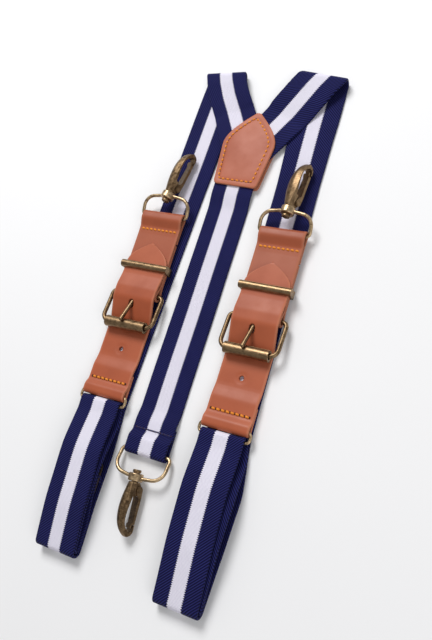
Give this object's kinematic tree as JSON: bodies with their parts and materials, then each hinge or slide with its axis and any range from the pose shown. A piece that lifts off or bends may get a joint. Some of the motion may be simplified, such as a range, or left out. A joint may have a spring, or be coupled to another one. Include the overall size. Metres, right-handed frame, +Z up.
{
  "type": "pair of suspenders",
  "caption": "Y-back elastic suspenders with leather buckle tabs, D-rings and swivel snap hooks, laid flat with the front loops folded under.",
  "frame": {"origin": "on the underside of the back strap, near the middle of the layout, where it rests on a surface", "axes": "+X to the right, +Y up the back strap towards the leather patch, +Z up"},
  "size_m": [0.113, 0.3056, 0.013],
  "materials": {
    "webbing": "woven navy elastic with a pale centre stripe",
    "leather": "smooth saddle tan, satin",
    "orange_thread": "waxed thread",
    "navy_thread": "thread",
    "antique_brass": "antique, dark patina with bright worn edges",
    "ring_brass": "polished antique",
    "slider_steel": "antique",
    "spring_steel": "bright wire"
  },
  "bodies": {
    "webbing": {"back_strap": "webbing", "back_strap_stitching": "navy_thread", "patch_back": "leather", "patch_front": "leather", "patch_stitching": "orange_thread", "left_front_strap": "webbing", "left_slider": "slider_steel", "right_front_strap": "webbing", "right_slider": "slider_steel"},
    "left_ring": {"left_lower_ring": "ring_brass"},
    "left_tab": {"left_lower_leather": "leather", "left_lower_stitching": "orange_thread", "left_upper_leather": "leather", "left_upper_stitching": "orange_thread"},
    "left_buckle": {"left_buckle_frame": "antique_brass"},
    "left_roller": {"left_buckle_roller": "antique_brass"},
    "left_prong": {"left_buckle_prong": "antique_brass"},
    "left_keeper_loop": {"left_keeper": "antique_brass"},
    "right_ring": {"right_lower_ring": "ring_brass"},
    "right_tab": {"right_lower_leather": "leather", "right_lower_stitching": "orange_thread", "right_upper_leather": "leather", "right_upper_stitching": "orange_thread"},
    "right_buckle": {"right_buckle_frame": "antique_brass"},
    "right_roller": {"right_buckle_roller": "antique_brass"},
    "right_prong": {"right_buckle_prong": "antique_brass"},
    "right_keeper_loop": {"right_keeper": "antique_brass"},
    "left_dee": {"left_d_ring": "antique_brass"},
    "left_hook": {"left_hook_body": "antique_brass", "left_gate_pin": "antique_brass", "left_gate_spring": "spring_steel"},
    "left_gate": {"left_hook_gate": "antique_brass"},
    "right_dee": {"right_d_ring": "antique_brass"},
    "right_hook": {"right_hook_body": "antique_brass", "right_gate_pin": "antique_brass", "right_gate_spring": "spring_steel"},
    "right_gate": {"right_hook_gate": "antique_brass"},
    "back_dee": {"back_d_ring": "antique_brass"},
    "back_hook": {"back_hook_body": "antique_brass", "back_gate_pin": "antique_brass", "back_gate_spring": "spring_steel"},
    "back_gate": {"back_hook_gate": "antique_brass"}
  },
  "joints": [
    {"name": "left_ring_swing", "type": "hinge", "parent": "webbing", "child": "left_ring", "pos_m": [-0.0385, -0.0676, 0.0045], "axis": [1, 0, 0], "range_deg": [0, 50]},
    {"name": "left_tab_swing", "type": "hinge", "parent": "left_ring", "child": "left_tab", "pos_m": [-0.0385, -0.062, 0.0045], "axis": [1, 0, 0], "range_deg": [0, 70]},
    {"name": "left_buckle_rock", "type": "hinge", "parent": "left_tab", "child": "left_buckle", "pos_m": [-0.0385, -0.0015, 0.0047], "axis": [-1, 0, 0], "range_deg": [0, 1.5]},
    {"name": "left_prong_lift", "type": "hinge", "parent": "left_buckle", "child": "left_prong", "pos_m": [-0.0385, -0.0015, 0.0047], "axis": [-1, 0, 0], "range_deg": [0, 3]},
    {"name": "left_roller_spin", "type": "hinge", "parent": "left_buckle", "child": "left_roller", "pos_m": [-0.0385, -0.0213, 0.007], "axis": [1, 0, 0], "continuous": true},
    {"name": "left_keeper_slide", "type": "slide", "parent": "left_tab", "child": "left_keeper_loop", "axis": [0, 1, 0], "range_m": [-0.002, 0.006]},
    {"name": "right_ring_swing", "type": "hinge", "parent": "webbing", "child": "right_ring", "pos_m": [0.0385, -0.0676, 0.0045], "axis": [1, 0, 0], "range_deg": [0, 50]},
    {"name": "right_tab_swing", "type": "hinge", "parent": "right_ring", "child": "right_tab", "pos_m": [0.0385, -0.062, 0.0045], "axis": [1, 0, 0], "range_deg": [0, 70]},
    {"name": "right_buckle_rock", "type": "hinge", "parent": "right_tab", "child": "right_buckle", "pos_m": [0.0385, -0.0015, 0.0047], "axis": [-1, 0, 0], "range_deg": [0, 1.5]},
    {"name": "right_prong_lift", "type": "hinge", "parent": "right_buckle", "child": "right_prong", "pos_m": [0.0385, -0.0015, 0.0047], "axis": [-1, 0, 0], "range_deg": [0, 3]},
    {"name": "right_roller_spin", "type": "hinge", "parent": "right_buckle", "child": "right_roller", "pos_m": [0.0385, -0.0213, 0.007], "axis": [1, 0, 0], "continuous": true},
    {"name": "right_keeper_slide", "type": "slide", "parent": "right_tab", "child": "right_keeper_loop", "axis": [0, 1, 0], "range_m": [-0.002, 0.006]},
    {"name": "left_d_ring_swing", "type": "hinge", "parent": "left_tab", "child": "left_dee", "pos_m": [-0.0385, 0.0478, 0.0049], "axis": [1, 0, 0], "range_deg": [0, 120]},
    {"name": "left_hook_swivel", "type": "hinge", "parent": "left_dee", "child": "left_hook", "pos_m": [-0.0385, 0.06004, 0.00864], "axis": [0.1562, 0.9863, -0.0523], "continuous": true},
    {"name": "left_gate_open", "type": "hinge", "parent": "left_hook", "child": "left_gate", "pos_m": [-0.03635, 0.06565, 0.00617], "axis": [0.8595, -0.1096, 0.4993], "range_deg": [0, 7], "stiffness_Nm_per_rad": 0.004, "springref_deg": -20.05},
    {"name": "right_d_ring_swing", "type": "hinge", "parent": "right_tab", "child": "right_dee", "pos_m": [0.0385, 0.0478, 0.0049], "axis": [1, 0, 0], "range_deg": [0, 120]},
    {"name": "right_hook_swivel", "type": "hinge", "parent": "right_dee", "child": "right_hook", "pos_m": [0.0385, 0.06004, 0.00864], "axis": [0.0697, 0.9962, -0.0523], "continuous": true},
    {"name": "right_gate_open", "type": "hinge", "parent": "right_hook", "child": "right_gate", "pos_m": [0.04016, 0.06582, 0.00617], "axis": [0.8657, -0.0343, 0.4993], "range_deg": [0, 7], "stiffness_Nm_per_rad": 0.004, "springref_deg": -20.05},
    {"name": "back_d_ring_swing", "type": "hinge", "parent": "webbing", "child": "back_dee", "pos_m": [-0.0019, -0.0864, 0.00282], "axis": [-1, 0, 0], "range_deg": [0, 120]},
    {"name": "back_hook_swivel", "type": "hinge", "parent": "back_dee", "child": "back_hook", "pos_m": [-0.0019, -0.10047, 0.00633], "axis": [0.0872, -0.9962, 0], "continuous": true},
    {"name": "back_gate_open", "type": "hinge", "parent": "back_hook", "child": "back_gate", "pos_m": [-0.00013, -0.10634, 0.00416], "axis": [-0.8627, -0.0755, -0.5], "range_deg": [0, 7], "stiffness_Nm_per_rad": 0.004, "springref_deg": -20.05}
  ]
}
